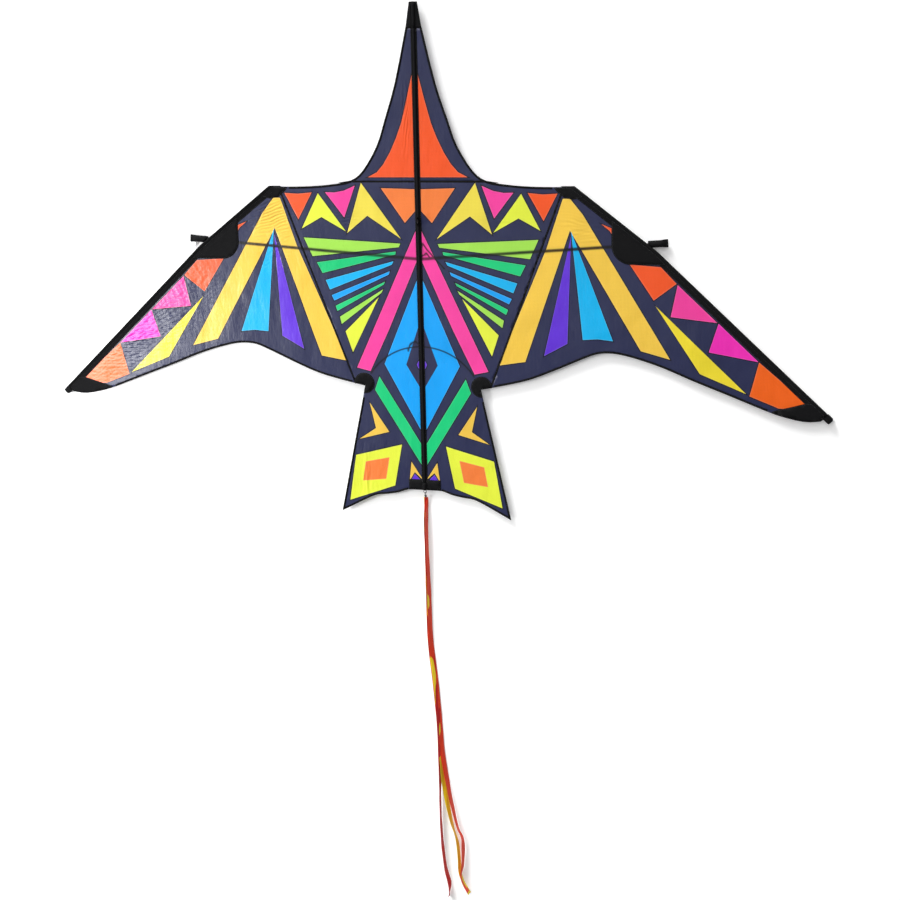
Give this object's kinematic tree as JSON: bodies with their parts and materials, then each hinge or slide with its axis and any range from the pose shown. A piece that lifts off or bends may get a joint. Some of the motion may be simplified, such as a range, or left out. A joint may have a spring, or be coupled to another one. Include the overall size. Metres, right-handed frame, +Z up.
{
  "type": "delta kite",
  "caption": "Bird-shaped delta kite with a printed sail, black sleeves and patches, a spreader, an arch rod and a ribbon tail, lying face up.",
  "frame": {"origin": "on the floor, under the middle of the sail's outline, with the tail ribbons left out", "axes": "+X to the wing on the right as seen from above with the nose away, +Y to the nose, +Z up, out of the printed face"},
  "size_m": [2.994, 3.5609, 0.0459],
  "materials": {
    "sail_cloth": "thin glossy ripstop, printed in bright colours",
    "black_cloth": "matt black woven webbing and tape",
    "black_cord": "braided black cord",
    "rod_fibre": "satin black fibre rod",
    "vinyl": "soft black vinyl",
    "ferrule_metal": "satin",
    "clip_metal": "polished",
    "ribbon_red": "thin glossy ripstop",
    "ribbon_orange": "thin glossy ripstop",
    "ribbon_yellow": "thin glossy ripstop"
  },
  "bodies": {
    "root": {"spine_rod_upper": "rod_fibre", "spine_rod_lower": "rod_fibre", "spine_ferrule": "ferrule_metal", "spine_sleeve": "black_cloth", "nose_patch": "black_cloth", "nose_cap": "vinyl", "tail_cap": "vinyl", "tail_pocket": "black_cloth", "tail_loop": "black_cord", "tow_tab": "black_cloth", "tow_eyelet": "vinyl", "centre_connector": "vinyl", "upper_tie": "black_cord", "lower_tie": "black_cord", "arch_joiner": "vinyl"},
    "wing_left": {"head_sail_left": "sail_cloth", "body_sail_left": "sail_cloth", "wing_sail_left": "sail_cloth", "neck_hem_left": "black_cloth", "trailing_hem_left": "black_cloth", "leading_edge_sleeve_left": "black_cloth", "leading_edge_rod_left": "rod_fibre", "tip_pocket_left": "black_cloth", "shoulder_cap_left": "vinyl", "shoulder_patch_left": "black_cloth", "connector_patch_left": "black_cloth", "tip_patch_left": "black_cloth", "notch_patch_left": "black_cloth", "tail_patch_left": "black_cloth", "spreader_pocket_left": "black_cloth", "spreader_rod_left": "rod_fibre", "spreader_cap_left": "vinyl", "arch_rod_left": "rod_fibre", "arch_cap_left": "vinyl", "clip_loop": "black_cord"},
    "wing_right": {"head_sail_right": "sail_cloth", "body_sail_right": "sail_cloth", "wing_sail_right": "sail_cloth", "neck_hem_right": "black_cloth", "trailing_hem_right": "black_cloth", "leading_edge_sleeve_right": "black_cloth", "leading_edge_rod_right": "rod_fibre", "tip_pocket_right": "black_cloth", "shoulder_cap_right": "vinyl", "shoulder_patch_right": "black_cloth", "connector_patch_right": "black_cloth", "tip_patch_right": "black_cloth", "notch_patch_right": "black_cloth", "tail_patch_right": "black_cloth", "spreader_pocket_right": "black_cloth", "spreader_rod_right": "rod_fibre", "spreader_cap_right": "vinyl", "arch_rod_right": "rod_fibre", "arch_cap_right": "vinyl"},
    "clip": {"snap_clip": "clip_metal"},
    "tail": {"tail_knot": "black_cord", "ribbon_red": "ribbon_red", "ribbon_orange": "ribbon_orange", "ribbon_yellow": "ribbon_yellow"}
  },
  "joints": [
    {"name": "wing_left_fold", "type": "hinge", "parent": "root", "child": "wing_left", "pos_m": [0, 0, 0.0195], "axis": [0, 1, 0], "range_deg": [-10, 80], "deforming": ["centre_connector", "arch_joiner"]},
    {"name": "wing_right_fold", "type": "hinge", "parent": "root", "child": "wing_right", "pos_m": [0, 0, 0.0195], "axis": [0, -1, 0], "range_deg": [-10, 80], "deforming": ["centre_connector", "arch_joiner"]},
    {"name": "tail_swing", "type": "hinge", "parent": "root", "child": "tail", "pos_m": [0, -0.854, 0.019], "axis": [0, 0, 1], "range_deg": [-35, 35]},
    {"name": "clip_swing", "type": "hinge", "parent": "wing_left", "child": "clip", "pos_m": [-0.884, 0.0913, 0.007], "axis": [0, 0, 1], "range_deg": [-35, 35]}
  ]
}
